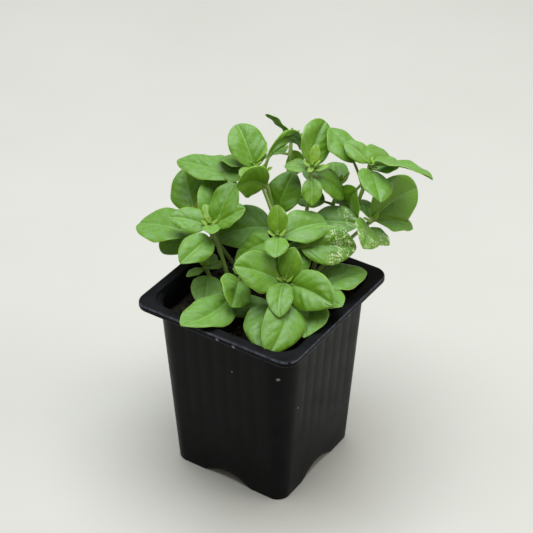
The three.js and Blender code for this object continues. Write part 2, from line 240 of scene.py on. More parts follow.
# Stems: each rises from its root in the soil to its crown. A pair of leaves is written as
# pair(distance down the stem from the crown, bearing of the first leaf in degrees, first leaf,
# second leaf, how far the second is off the opposite bearing), and a leaf as
# leaf(rise in degrees, length with its stalk, what is particular to it).

def leaf(rise, length, **particular):
    return dict(rise=rise, length=length, **particular)


def pair(below, bearing, first, second, skew=0):
    return SimpleNamespace(below=below, bearing=bearing, leaves=(first, second), skew=skew)


def tip(bearing):
    return pair(1.2, bearing, leaf(40, 5.5, breadth=0.85), leaf(34, 5.5, breadth=0.85))


def shaded_tip(bearing):
    return pair(1.2, bearing, leaf(55, 9), leaf(50, 9))


STEMS = [
    dict(name="stem_front", root=(12, -2), crown=(17, -7, 115), bow=0.6, pairs=[
        tip(25),
        pair(1, 92, leaf(58, 17, twist=10), leaf(-14, 23, breadth=0.68), 24),
        pair(3, 222, leaf(28, 28, breadth=0.9), leaf(0, 29, twist=25), -46),
        pair(6, 101, leaf(26, 26), leaf(-18, 40, stalk=7, breadth=0.66, twist=-15, sway=0.12), 11),
        pair(13, 287, leaf(-11, 36, stalk=8, twist=20, sway=-0.08), None),
        pair(21, 208, leaf(-12, 30, breadth=0.65, twist=12), None)]),
    dict(name="stem_centre", root=(3, 5), crown=(6, 3, 131), bow=0.6, pairs=[
        tip(40),
        pair(1, 124, leaf(60, 15), leaf(-4, 17), -4),
        pair(4, 60, leaf(4, 28), leaf(-36, 26), -38),
        pair(10, 200, leaf(-2, 12), leaf(-3, 40, twist=12, specks=1), 21)]),
    dict(name="stem_left", root=(-15, -5), crown=(-29, -3, 128), bow=0.2, pairs=[
        tip(45),
        pair(1, 143, leaf(37, 11), leaf(15, 14), -13),
        pair(3, 204, leaf(12, 22), leaf(37, 21), 4),
        pair(6, 90, leaf(47, 29, breadth=0.74, twist=-18), leaf(-7, 26, breadth=0.75), -5),
        pair(11, 183, leaf(-4, 47, twist=10), None),
        pair(15, 126, leaf(36, 42, breadth=0.75, twist=18), None)]),
    dict(name="stem_low_left", root=(-24, -4), crown=(-31, -5, 103), bow=0.5, pairs=[
        tip(120),
        pair(2, 60, leaf(5, 11), leaf(-5, 11)),
        pair(4, 300, leaf(-12, 23), leaf(10, 14))]),
    dict(name="stem_front_left", root=(-15, -10), crown=(-8, -5, 108), bow=0.2, pairs=[
        tip(20),
        pair(3, 296, leaf(3, 27, twist=-30), leaf(10, 12)),
        pair(7, 269, leaf(2, 44, stalk=10, breadth=0.66, twist=-3, arch=-11, sway=0.12), None)]),
    dict(name="stem_back_left", root=(7, 11), crown=(-22, 24, 150), bow=-0.1, pairs=[
        tip(15),
        pair(1, 92, leaf(32, 14, twist=-40), leaf(0, 12), -1),
        pair(3, 168, leaf(-7, 24, twist=20), None),
        pair(5, 152, leaf(40, 28), None),
        pair(8, 174, leaf(-5, 25, twist=12), None),
        pair(9.5, 182, leaf(-2, 50, breadth=0.62, arch=12, twist=10), None)]),
    dict(name="stem_top", root=(1, 19), crown=(-15, 23, 149), bow=0.3, pairs=[
        tip(20),
        pair(2, 84, leaf(1, 43, stalk=8, twist=65, arch=176, breadth=0.22), None),
        pair(28, 90, leaf(54, 28, breadth=0.88, arch=41), None),
        pair(30, 213, leaf(-12, 31, stalk=2.5, breadth=0.92, twist=10), None),
        pair(10.5, 250, leaf(26, 23, stalk=4, breadth=1.0, arch=81, twist=-77), None)]),
    dict(name="stem_back", root=(9, 17), crown=(5, 35, 153), bow=0.5, pairs=[
        tip(30),
        pair(1, 106, leaf(50, 11), leaf(0, 6)),
        pair(3, 193, leaf(-3, 14), leaf(20, 9), 14),
        pair(5, 106, leaf(33, 30, breadth=0.76, twist=35), leaf(-42, 16), 19),
        pair(6, 35, leaf(-40, 22.5, breadth=0.76, arch=55, twist=-4), None),
        pair(29, 20, leaf(5, 27, stalk=3, arch=10, breadth=0.79, specks=0.6), None)]),
    dict(name="stem_back_right", root=(15, 13), crown=(28, 51, 153), bow=0.8, pairs=[
        tip(130),
        pair(1, 180, leaf(27, 17), leaf(0, 33, twist=-55), 9),
        pair(3, 96, leaf(-16, 27, breadth=0.86, twist=18), leaf(-8, 26, twist=-25), 37),
        pair(5, 66, leaf(-3, 19), None),
        pair(11, 213, leaf(-82, 28, breadth=0.92, arch=94, twist=-5), None),
        pair(15, 162, leaf(40, 35, stalk=13, breadth=0.94, arch=40, twist=33), None)]),
    dict(name="stem_right", root=(14, 6), crown=(36, 42, 129), bow=0.2, pairs=[
        tip(60),
        pair(1, 134, leaf(8, 16, twist=20), leaf(-16, 22, twist=-15), 87),
        pair(3, 77, leaf(8, 37, twist=40), leaf(4, 24, twist=-50, specks=0.7), 39),
        pair(6, 8, leaf(-19, 16, specks=0.8), None)]),
    dict(name="stem_front_right", root=(20, -8), crown=(27, 6, 106), bow=0.5, pairs=[
        tip(150),
        pair(2, 60, leaf(6, 29, twist=-20), None),
        pair(4, -20, leaf(16, 24), None),
        pair(5, 296, leaf(-7, 29), leaf(15, 12))]),
    dict(name="stem_far_left", root=(-17, 10), crown=(-49, 11, 120), bow=0.4, pairs=[
        shaded_tip(60),
        pair(3, 141, leaf(34, 27, breadth=0.85, arch=-12, twist=-25), leaf(0, 12)),
        pair(7, 235, leaf(-30, 26), leaf(10, 16))]),
    dict(name="stem_far_back", root=(-6, 22), crown=(-20, 56, 151), bow=0.5, pairs=[
        tip(30),
        pair(2, 197, leaf(40, 18, twist=73, breadth=0.5, arch=20), leaf(10, 12)),
        pair(6, 348, leaf(-76, 16, breadth=0.85), None),
        pair(10, 155, leaf(-29, 25, breadth=0.85), None)]),
    dict(name="stem_far_right", root=(11, 23), crown=(12, 50, 138), bow=0.5, pairs=[
        shaded_tip(10),
        pair(2, 190, leaf(10, 20), None),
        pair(6, 305, leaf(-12, 8), leaf(8, 24)),
        pair(12, 200, leaf(0, 20), None)]),
]


# A fine blade is a little shorter than the plain solid's, so that its waves stay inside the solid's box
FINE_SHARE = 0.985

# The leaves of these stems sit in the shade of the others, which is painted on them as a darker green
PAINTED_SHADE_STEMS = ("stem_far_back", "stem_far_right")
PAINTED_SHADE_DARKENING = 0.5

# Material slots of a leafy stem
LEAF_SLOT, UNDER_SLOT, STEM_SLOT = range(3)

# Seeds that each stem has for its leaves, and the first of them for its folded leaflets
SEEDS_PER_STEM = 40
BUD_SEED = 30

# Corners of the rings round a stem
STEM_SIDES = 14


def stem_line(stem, steps=200):
    """Points of a stem from its foot to its crown, and the shares of the curve that they are at."""
    foot = np.array([*stem["root"], SOIL_LEVEL + STEM_UPRIGHT], float)
    crown = np.array(stem["crown"], float)
    middle = foot + (crown - foot) * np.array([stem["bow"], stem["bow"], 0.5])
    share = np.linspace(0, 1, steps + 1)[:, None]
    return (1 - share) ** 2 * foot + 2 * share * (1 - share) * middle + share ** 2 * crown, share[:, 0]


def grown(stem, row, side, seed):
    """A leaf with its breadth, arch, fold, curl, sway and roll, from its place and length."""
    given = row.leaves[side]
    length = given["length"]
    line, shares = stem_line(stem)
    stem_length = np.linalg.norm(np.diff(line, axis=0), axis=1).sum()
    at_share = 1 - row.below / stem_length
    bearing = row.bearing + side * (180 + row.skew)
    growth = min(max((length - YOUNG_LEAF) / (GROWN_LEAF - YOUNG_LEAF), 0), 1)
    short_stalk = STALK_SHARE + STALK_SHARE_GAIN * min(row.below, STALK_GAIN_ENDS)
    stalk = given.get("stalk", length * (short_stalk if length < LONG_LEAF else LONG_STALK_SHARE))
    blade = (length - stalk) * FINE_SHARE
    tiny = length <= TINY_LEAF
    usual_breadth = LEAF_BREADTH if length > SMALL_LEAF else SMALL_LEAF_BREADTH
    arch_gain = (GROWN_ARCH - YOUNG_ARCH) * growth * spread(seed + 0.3)
    shade = math.sin(math.radians(LIGHT_BEARING - bearing))
    roll = given.get("twist", 0) + (chance(seed + 0.5) - 0.5) * ROLL_SPREAD * growth
    return SimpleNamespace(
        at=np.array([np.interp(at_share, shares, line[:, axis]) for axis in range(3)]),
        seed=seed,
        bearing=bearing,
        rise=given["rise"],
        stalk=stalk,
        blade=blade,
        growth=growth,
        breadth=blade * given.get("breadth", usual_breadth) * (0.92 + 0.16 * chance(seed)),
        arch=given.get("arch", TINY_ARCH if tiny else YOUNG_ARCH + arch_gain),
        fold=TINY_FOLD if tiny else blend(LEAST_FOLD, MOST_FOLD, chance(seed + 0.6)),
        curl=blend(LEAST_CURL, MOST_CURL, chance(seed + 0.8)),
        sway=given.get("sway", (chance(seed + 0.9) - 0.5) * SWAY_SPREAD),
        roll=roll - LIGHT_LEAN * shade * (0.3 + 0.7 * growth),
        specks=given.get("specks", 0),
    )


# The youngest leaflets: length, rise and distance below the crown, the outer pair first
BUDS = ((3.8, 52, 0.9), (3.5, 46, 0.9), (2.4, 70, 0.4), (2.2, 66, 0.4))
BUD_STALK = 0.25
BUD_BREADTH = 0.75
BUD_ARCH = -16
BUD_FOLD = 32


def buds(tip_row, crown, seed):
    """The youngest leaflets, folded together between the two leaves of a growing tip."""
    made = []
    for order, (length, rise, below) in enumerate(BUDS):
        turn = 90 if order < 2 else 0
        made.append(SimpleNamespace(
            at=crown - UP * below,
            seed=seed + order,
            bearing=tip_row.bearing + turn + 180 * (order % 2),
            rise=rise,
            stalk=BUD_STALK,
            blade=length,
            growth=0,
            breadth=length * BUD_BREADTH,
            arch=BUD_ARCH,
            fold=BUD_FOLD,
            curl=0.1,
            sway=0,
            roll=0,
            specks=0,
        ))
    return made


# How full the blade's outline is at its base and at its tip, where some leaves are rounder than others
BASE_FULLNESS = 0.62
ROUND_TIP = 0.64
POINTED_TIP = 0.8


def half_breadth(one, along):
    """Half the blade's width, 0 at its base and its tip, widest a little before the middle."""
    tip_fullness = blend(ROUND_TIP, POINTED_TIP, chance(one.seed + 0.55) if one.growth > 0 else 1)
    widest_at = BASE_FULLNESS / (BASE_FULLNESS + tip_fullness)
    widest = widest_at ** BASE_FULLNESS * (1 - widest_at) ** tip_fullness
    inside = np.clip(along, 0, 1)
    return one.breadth / 2 * inside ** BASE_FULLNESS * (1 - inside) ** tip_fullness / widest


def largeness(one):
    """How large a blade is beside a large leaf's, up to 1."""
    return min(one.blade / LARGE_BLADE, 1)


def leaf_frame(one, along):
    """The leaf's middle line, and its directions across and out of its upper face, at shares of its
    blade. A negative share is on the stalk."""
    bearing = math.radians(one.bearing)
    outward = np.array([math.cos(bearing), math.sin(bearing), 0])
    sideways = np.array([-math.sin(bearing), math.cos(bearing), 0])
    whole = one.stalk + one.blade
    share = (one.stalk + np.asarray(along, float)[..., None] * one.blade) / whole
    arch = math.radians(one.arch)
    start = math.radians(one.rise) + arch / 2
    slope = start - arch * share
    bend = whole / arch
    centre = (one.at
              + outward * bend * (math.sin(start) - np.sin(slope))
              + UP * bend * (np.cos(slope) - math.cos(start))
              + sideways * one.sway * whole * 4 * share * (1 - share))
    flat_lift = UP * np.cos(slope) - outward * np.sin(slope)
    roll = math.radians(one.roll)
    across = sideways * math.cos(roll) + flat_lift * math.sin(roll)
    lift = flat_lift * math.cos(roll) - sideways * math.sin(roll)
    return centre, across, lift


# The side veins leave the midrib in turn, left and right, and bend forwards to the edge
VEIN_SPACING = 0.19
VEIN_CLIMB = 0.2
VEIN_BEND = 0.14

# The radius of the valley along the midrib, how deep the midrib is sunk in a large leaf's upper face, and
# how far it stands out of the under face, in millimetres
VALLEY_ROUND = 0.8
RIB_DEPTH = 0.42
RIB_STAND = 0.38

# How far the upper face swells between the side veins, as a share of the blade's length, and how far
# the blade waves in and out of its form, at its edge and all over, and how far its edge turns down, in
# millimetres on a large leaf
PUCKERING = 0.03
EDGE_WAVE = 0.55
SLOW_WAVE = 0.45
EDGE_DROP = 0.3

# The depth of the teeth at the blade's edge, as a share of half its breadth
TOOTH_DEPTH = 0.028


def vein_phase(along, across):
    """Whole numbers are on the side veins. The right half is half a step ahead of the left."""
    outwards = np.abs(across)
    return (along - VEIN_CLIMB * outwards - VEIN_BEND * outwards ** 2 - 0.03) / VEIN_SPACING


def relief(one, along, across, from_rib):
    """How far the upper face stands out of the leaf's smooth form: a sunk midrib, soft swellings between
    the sunk side veins, and an uneven edge that turns down a little."""
    size = largeness(one)
    outwards = np.abs(across)
    ahead = np.where(across > 0, 0.5, 0.0)
    from_vein = np.abs(np.sin(math.pi * (vein_phase(along, across) + ahead)))
    swelling = 1 - (1 - from_vein) ** 2.5
    patchy = np.sin(2 * math.pi * (1.9 * along + 0.7 * across + chance(one.seed + 0.45)))
    swelling = swelling * blend(0.35, 1, 0.5 + 0.5 * patchy)
    inner = smooth_step(outwards, 0.02, 0.3) * (1 - 0.6 * outwards ** 2)
    lengthwise = np.clip(np.sin(math.pi * along), 0, 1) ** 0.7
    puckering = PUCKERING * one.blade * spread(one.seed + 0.4)
    rib = np.exp(-(from_rib / (0.3 + 0.3 * size)) ** 2) * np.sqrt(1 - along * 0.9)
    edge_wave = np.sin(2 * math.pi * (2.3 * along + chance(one.seed + 0.7)) + 1.5 * (across > 0))
    edge = EDGE_WAVE * size * edge_wave * outwards ** 3 - EDGE_DROP * size * smooth_step(outwards, 0.8, 1)
    slow_wave = np.sin(2 * math.pi * (1.1 * along + chance(one.seed + 0.33)) + 2.2 * across)
    uneven = SLOW_WAVE * size * slow_wave * smooth_step(outwards, 0, 0.5)
    return puckering * swelling * inner * lengthwise - RIB_DEPTH * size * rib + (edge + uneven) * lengthwise


def teeth(one, along):
    """Shallow forward-pointing teeth along the edge, from above the blade's base to its tip."""
    count = 5 + round(one.blade / 6)
    saw = (along * count) % 1
    return TOOTH_DEPTH * one.growth * smooth_step(along, 0.3, 0.5) * (saw - 0.5) * (1 - along)


def blade_stations(one):
    """Shares along the blade, closer together at its round base and its tip, and across it."""
    rows = int(min(10 + one.blade * 1.05, 42))
    columns = 2 * int(min(3 + one.blade * 0.36, 12)) + 1
    even = np.linspace(0, 1, rows)
    along = blend(even, 0.5 - 0.5 * np.cos(math.pi * even), 0.6)
    side = np.linspace(-1, 1, columns)
    return 0.003 + 0.994 * along, np.sign(side) * np.abs(side) ** 1.15


def add_blade(patches, one, tone):
    """A closed thin blade: its upper face, its paler under face with the midrib standing out, its edge."""
    along, across = blade_stations(one)
    rows, columns = len(along), len(across)
    centre, across_way, lift = leaf_frame(one, along)
    along, across = np.meshgrid(along, across, indexing="ij")
    reach = np.abs(across) * half_breadth(one, along) * (1 + teeth(one, along) * across ** 8)
    fold = math.radians(one.fold)
    curl = one.curl * reach ** 2 / max(one.breadth / 2, 1)
    valley = np.sqrt(reach ** 2 + VALLEY_ROUND ** 2) - VALLEY_ROUND
    stand = valley * math.sin(fold) - curl + relief(one, along, across, reach)
    sideways = np.sign(across) * reach * math.cos(fold)
    middle = centre[:, None] + across_way[:, None] * sideways[..., None]
    size = largeness(one)
    thickness = BLADE_THICKNESS * (0.5 + 0.5 * size) * (1 - 0.45 * across ** 2)
    rib = RIB_STAND * size * np.exp(-(reach / 0.55) ** 2) * (1 - along)
    upper = middle + lift[:, None] * (stand + thickness / 2)[..., None]
    under = middle + lift[:, None] * (stand - thickness / 2 - rib)[..., None]
    marks = dict(
        across=across,
        from_rib=reach,
        vein=vein_phase(along, across),
        tone=tone,
        youth=1 - one.growth,
        specks=one.specks * smooth_step(along, 0.35, 0.6),
    )
    faces = grid_faces(rows, columns)
    edge = ([column for column in range(columns)]
            + [row * columns + columns - 1 for row in range(1, rows)]
            + [(rows - 1) * columns + column for column in range(columns - 2, -1, -1)]
            + [row * columns for row in range(rows - 2, 0, -1)])
    below = rows * columns
    rim = [(here, edge[(k + 1) % len(edge)], below + edge[(k + 1) % len(edge)], below + here)
           for k, here in enumerate(edge)]
    upper_faces = [face[::-1] for face in faces]
    under_faces = [tuple(corner + below for corner in face) for face in faces]
    marks = {mark: np.concatenate([np.ravel(np.broadcast_to(values, reach.shape))] * 2)
             for mark, values in marks.items()}
    points = np.concatenate([upper.reshape(-1, 3), under.reshape(-1, 3)])
    patches.add(points, {LEAF_SLOT: upper_faces + rim, UNDER_SLOT: under_faces}, **marks)


def add_stalk(patches, one):
    """From inside the stem to a little way under the blade, wider at both ends than between them."""
    along = np.linspace(-one.stalk / one.blade, 0.1, 9)
    centre, across, lift = leaf_frame(one, along)
    size = min(one.blade / GROWN_LEAF, 1)
    radius = 0.42 + 0.3 * size
    share = np.linspace(0, 1, len(along))
    radii = radius * (1 + 0.45 * (1 - share) ** 3) * (1 - 0.35 * smooth_step(share, 0.75, 1))
    rings = sweep(centre - lift * 0.12, radii, 8, across.mean(axis=0))
    add_tube(patches, rings, STEM_SLOT, tone=0.3 + 0.4 * chance(one.seed + 0.2), youth=1 - one.growth)


def add_stem(patches, stem):
    """A tapered four-sided stem with round edges, swollen a little where each pair of leaves grows."""
    line, _ = stem_line(stem, 44)
    below_soil = np.array([[*stem["root"], SOIL_LEVEL - depth] for depth in (5, 2)])
    line = np.concatenate([below_soil, line])
    from_crown = np.linalg.norm(line - line[-1], axis=1)
    share = np.clip((line[:, 2] - SOIL_LEVEL) / (line[-1, 2] - SOIL_LEVEL), 0, 1)
    radii = blend(STEM_RADIUS_BELOW, STEM_RADIUS_ABOVE, share)
    for row in stem["pairs"]:
        radii = radii * (1 + 0.24 * np.exp(-((from_crown - row.below) / 1.3) ** 2))
    rings = sweep(line, radii, STEM_SIDES, np.array([1.0, 0.35, 0.0]), squareness=0.07)
    share = np.repeat(share, STEM_SIDES)
    add_tube(patches, rings, STEM_SLOT, tone=share, youth=share ** 3)


# How light the highest and the lowest leaves of a stem are, how far down the lowest are, and how much
# leaves of one height differ
HIGH_TONE = 0.75
LOW_TONE = 0.4
LOW_FROM = 24
TONE_SPREAD = 0.35
BUD_TONE = 0.6


def lightness(below, seed):
    """Leaves darken down the stem, partly with age and partly as painted shade under the leaves above,
    and differ a little from each other.
    """
    return blend(HIGH_TONE, LOW_TONE, min(below / LOW_FROM, 1)) + TONE_SPREAD * (chance(seed + 0.15) - 0.5)


def leafy_stem(stem, index, materials):
    patches = Patches()
    add_stem(patches, stem)
    for row_index, row in enumerate(stem["pairs"]):
        for side in (0, 1):
            if row.leaves[side] is None:
                continue
            seed = index * SEEDS_PER_STEM + row_index * 2 + side + 1
            one = grown(stem, row, side, seed)
            # Painted shade: leaves of the stems behind are darkened where the others shade them
            shaded = PAINTED_SHADE_DARKENING if stem["name"] in PAINTED_SHADE_STEMS else 0
            add_blade(patches, one, tone=lightness(row.below, seed) - shaded)
            if one.stalk > STEM_RADIUS_ABOVE:
                add_stalk(patches, one)
    crown = np.array(stem["crown"], float)
    for one in buds(stem["pairs"][0], crown, index * SEEDS_PER_STEM + BUD_SEED):
        add_blade(patches, one, tone=BUD_TONE)
    made = patches.piece("leafy_" + stem["name"], materials)
    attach(made, "root")
    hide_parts(stem["name"])


# Pot

def around_square(half, corner, side_stations, corner_steps):
    """Points round a square with rounded corners, and how far along its side each point is."""
    straight = half - corner
    side = np.linspace(-straight, straight, side_stations)
    turn = np.linspace(0, math.pi / 2, corner_steps + 1)[1:-1]
    outline = [np.column_stack([np.full_like(side, half), side])]
    outline.append(np.column_stack([straight + corner * np.cos(turn), straight + corner * np.sin(turn)]))
    quarter = np.concatenate(outline)
    along = np.concatenate([side, np.full(len(turn), half)])
    points = [quarter]
    for _ in range(3):
        quarter = np.column_stack([-quarter[:, 1], quarter[:, 0]])
        points.append(quarter)
    return np.concatenate(points), np.tile(along, 4)


def wall_at(z):
    """Half the pot's width at a height, and the radius of its corners there."""
    share = z / (POT_HEIGHT - LIP_DROP)
    half = WALL_HALF_BOTTOM + (WALL_HALF_TOP - WALL_HALF_BOTTOM) * share
    corner = WALL_CORNER_BOTTOM + (WALL_CORNER_TOP - WALL_CORNER_BOTTOM) * share
    return half, corner


def fluting(along, z):
    """How deep the broad shallow upright flutes are at a place on the wall."""
    across = (0.5 - 0.5 * np.cos(2 * math.pi * along / FLUTE_PITCH)) ** 2
    towards_corner = 1 - smooth_step(np.abs(along), FLUTE_SIDE - 5, FLUTE_SIDE)
    rising = smooth_step(z, 14, 55)
    return FLUTE_DEPTH * across * towards_corner * rising


def pot_ring(half, corner, z, flutes=0.0, arched=0.0):
    """A level ring of the pot's skin. Its lower edge is arched between the feet."""
    outline, along = around_square(half, corner, SIDE_STATIONS, CORNER_STEPS)
    depth = flutes * fluting(along, z)
    outline *= (1 - depth / np.abs(outline).max(axis=1))[:, None]
    arch = FOOT_ARCH_HEIGHT * np.cos(np.clip(along / FOOT_ARCH_HALF, -1, 1) * math.pi / 2)
    return np.column_stack([outline, z + arched * arch])


def pot_rings():
    """The skin of the pot, from the edge of its floor's underside, out and over the lip, to its floor."""
    half, corner = wall_at(FLOOR_UNDERSIDE)
    rings = [pot_ring(half - PLASTIC, corner - PLASTIC, FLOOR_UNDERSIDE)]
    edge = 0.3
    low_half, low_corner = wall_at(0)
    for inset, z in ((PLASTIC, edge), (PLASTIC - edge, 0), (edge, 0), (0.08, 0.08), (0, edge)):
        rings.append(pot_ring(low_half - inset, low_corner - inset, z, arched=1))
    for z in (FLOOR_UNDERSIDE, *np.linspace(FLOOR_TOP + 1, POT_HEIGHT - LIP_DROP, 22)):
        rings.append(pot_ring(*wall_at(z), z, flutes=1))
    under_lip = POT_HEIGHT - LIP_ROUND
    rings.append(pot_ring(*wall_at(POT_HEIGHT - LIP_DROP), under_lip - 0.4, flutes=1))
    rings.append(pot_ring(WALL_HALF_TOP + 0.4, WALL_CORNER_TOP, under_lip))
    skirt_inside = POT_HALF - PLASTIC
    rings.append(pot_ring(skirt_inside - 0.3, OUTER_CORNER - PLASTIC, under_lip))
    rings.append(pot_ring(skirt_inside, OUTER_CORNER - PLASTIC, under_lip - 0.3))
    skirt_foot = POT_HEIGHT - LIP_DROP
    for inset, z in ((PLASTIC, 0.25), (PLASTIC - 0.25, 0), (0.25, 0), (0.07, 0.07), (0, 0.25)):
        rings.append(pot_ring(POT_HALF - inset, OUTER_CORNER - inset, skirt_foot + z))
    for turn in np.linspace(0, math.pi / 2, 7):
        inset = LIP_ROUND * (1 - math.cos(turn))
        z = POT_HEIGHT - LIP_ROUND * (1 - math.sin(turn))
        rings.append(pot_ring(POT_HALF - inset, OUTER_CORNER - inset, z))
    opening = POT_HALF - FLANGE
    for share in (1 / 3, 2 / 3):
        half = blend(POT_HALF - LIP_ROUND, opening, share)
        rings.append(pot_ring(half, blend(OUTER_CORNER - LIP_ROUND, OPENING_CORNER, share), POT_HEIGHT))
    for turn in np.linspace(0, math.pi / 2, 5):
        inset = OPENING_ROUND * math.sin(turn)
        z = POT_HEIGHT - OPENING_ROUND * (1 - math.cos(turn))
        rings.append(pot_ring(opening + 0.1 - inset, OPENING_CORNER + inset, z))
    for z in np.linspace(POT_HEIGHT - LIP_DROP, FLOOR_TOP, 12):
        half, corner = wall_at(z)
        rings.append(pot_ring(half - PLASTIC, corner - PLASTIC, z))
    return np.array(rings)


def drain_cutters():
    """Upright rods through the floor, where its drain holes are."""
    patches = Patches()
    spots = [(0, 0)] + [(x * DRAIN_SPACING, y * DRAIN_SPACING) for x in (-1, 1) for y in (-1, 1)]
    for x, y in spots:
        line = [(x, y, FLOOR_UNDERSIDE - 3), (x, y, FLOOR_TOP + 3)]
        rings = sweep(line, [DRAIN_RADIUS] * 2, 40, np.array([1.0, 0.0, 0.0]))
        add_tube(patches, rings, 0)
    return patches.piece("drain_cutters", [])


def cut(piece, cutter):
    """The piece keeps its shape less the cutter's, which is then removed."""
    step = piece.modifiers.new("cut", "BOOLEAN")
    step.object = cutter
    step.operation = "DIFFERENCE"
    step.solver = "EXACT"
    depsgraph = bpy.context.evaluated_depsgraph_get()
    result = bpy.data.meshes.new_from_object(piece.evaluated_get(depsgraph))
    piece.modifiers.clear()
    piece.data = result
    bpy.data.objects.remove(cutter)


def moulded_pot():
    patches = Patches()
    add_tube(patches, pot_rings(), 0)
    made = patches.piece("moulded_pot", [pot_plastic()])
    cut(made, drain_cutters())
    made.data.set_sharp_from_angle(angle=math.radians(35))
    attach(made, "root")
    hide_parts("pot")


# Soil

def soil_height(x, y):
    """The smooth swell of the soil's surface."""
    swell = SOIL_SWELL * np.sin(0.16 * x + 1.2) * np.cos(0.13 * y - 0.6)
    return SOIL_LEVEL + swell + SOIL_RIPPLE * np.sin(0.37 * x + 0.31 * y)


def rough(points, size, seed):
    """Noise between -1 and 1 at each point, with its grains about as large as size."""
    offset = Vector((seed * 7.3, seed * 3.1, seed * 5.7))
    return np.array([noise.fractal(Vector(point) / size + offset, 0.9, 2.1, 4) for point in points])


def soil_outline(z):
    """The soil's outline at a height, a little inside the pot's wall."""
    half, corner = wall_at(z)
    inset = PLASTIC + SOIL_GAP
    return around_square(half - inset, corner - inset, 31, 9)[0]


def soil_body(patches):
    """Moist soil that fills the pot, rough on top, with a level underside at the drain holes."""
    rings = []
    for z in (FLOOR_TOP + SOIL_GAP, 40, 70, SOIL_LEVEL - 1.2):
        outline = soil_outline(z)
        rings.append(np.column_stack([outline, np.full(len(outline), z)]))
    outline = soil_outline(SOIL_LEVEL)
    for share in np.linspace(1, 0.012, 64):
        flat = outline * share
        level = soil_height(flat[:, 0], flat[:, 1])
        points = np.column_stack([flat, level])
        falling_edge = 0.8 * smooth_step(share, 0.93, 1)
        bumps = 0.75 * rough(points, 5, 1) + 0.35 * rough(points, 1.6, 2)
        points[:, 2] += bumps * (1 - 0.4 * smooth_step(share, 0.96, 1)) - falling_edge
        rings.append(points)
    add_tube(patches, np.array(rings), 0, tone=0.35)


def lump():
    """The points and faces of a small round lump."""
    ball = bpy.data.meshes.new("lump")
    shaper = bmesh.new()
    bmesh.ops.create_icosphere(shaper, subdivisions=2, radius=1)
    shaper.to_mesh(ball)
    shaper.free()
    points = np.array([vertex.co for vertex in ball.vertices])
    faces = [tuple(face.vertices) for face in ball.polygons]
    bpy.data.meshes.remove(ball)
    return points, faces


def soil_spot(seed, reach=0.95):
    """A seeded place on the soil's surface."""
    half, _ = wall_at(SOIL_LEVEL)
    inside = (half - PLASTIC - 2.2) * reach
    x = blend(-inside, inside, chance(seed))
    y = blend(-inside, inside, chance(seed + 0.37))
    return x, y


def crumbs(patches, count=900):
    """Crumbs of soil that lie half sunk in its surface, a few of them larger or of light wood."""
    ball, faces = lump()
    for index in range(count):
        seed = index * 3 + 11
        x, y = soil_spot(seed)
        size = 0.35 + 1.5 * chance(seed + 0.11) ** 3
        woody = chance(seed + 0.71) > 0.94
        stretch = np.array([1.0, 0.6 + 0.7 * chance(seed + 0.5), 0.55 + 0.4 * chance(seed + 0.6)])
        if woody:
            stretch = np.array([1.6, 0.5, 0.3])
        knobs = 1 + 0.28 * rough(ball + seed, 0.9, 3)
        points = ball * knobs[:, None] * stretch * size
        points = turned(points, chance(seed + 0.2) * 2 * math.pi, (chance(seed + 0.9) - 0.5) * 0.9)
        middle = np.array([x, y, soil_height(x, y) + 0.25 * size])
        tone = 0.95 if woody else 0.15 + 0.5 * chance(seed + 0.8)
        patches.add(points + middle, {0: faces}, tone=tone)


def turned(points, about_up, tilt):
    """Points tilted about X and then turned about Z."""
    x, y, z = np.asarray(points).T
    y, z = y * math.cos(tilt) - z * math.sin(tilt), y * math.sin(tilt) + z * math.cos(tilt)
    x, y = (x * math.cos(about_up) - y * math.sin(about_up), x * math.sin(about_up) + y * math.cos(about_up))
    return np.column_stack([x, y, z])


def peat_fibres(patches, count=70):
    """Thin bent fibres and straws that lie on the soil."""
    for index in range(count):
        seed = index * 5 + 4001
        x, y = soil_spot(seed, 0.9)
        length = 3 + 8 * chance(seed + 0.4) ** 2
        run = np.linspace(-0.5, 0.5, 7)
        line = np.column_stack([run * length, 0.16 * length * np.cos(run * 3 + seed), 0.5 - 1.6 * run ** 2])
        line = turned(line, chance(seed + 0.6) * 2 * math.pi, 0)
        line[:, 0] += x
        line[:, 1] += y
        line[:, 2] += soil_height(line[:, 0], line[:, 1]) + 0.1
        radius = 0.1 + 0.16 * chance(seed + 0.3)
        rings = sweep(line, np.full(7, radius), 5, UP)
        add_tube(patches, rings, 0, tone=0.6 + 0.4 * chance(seed + 0.8))


def potting_soil():
    patches = Patches()
    soil_body(patches)
    crumbs(patches)
    peat_fibres(patches)
    made = patches.piece("potting_soil", [soil_peat()])
    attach(made, "root")
    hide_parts("soil")


# Materials

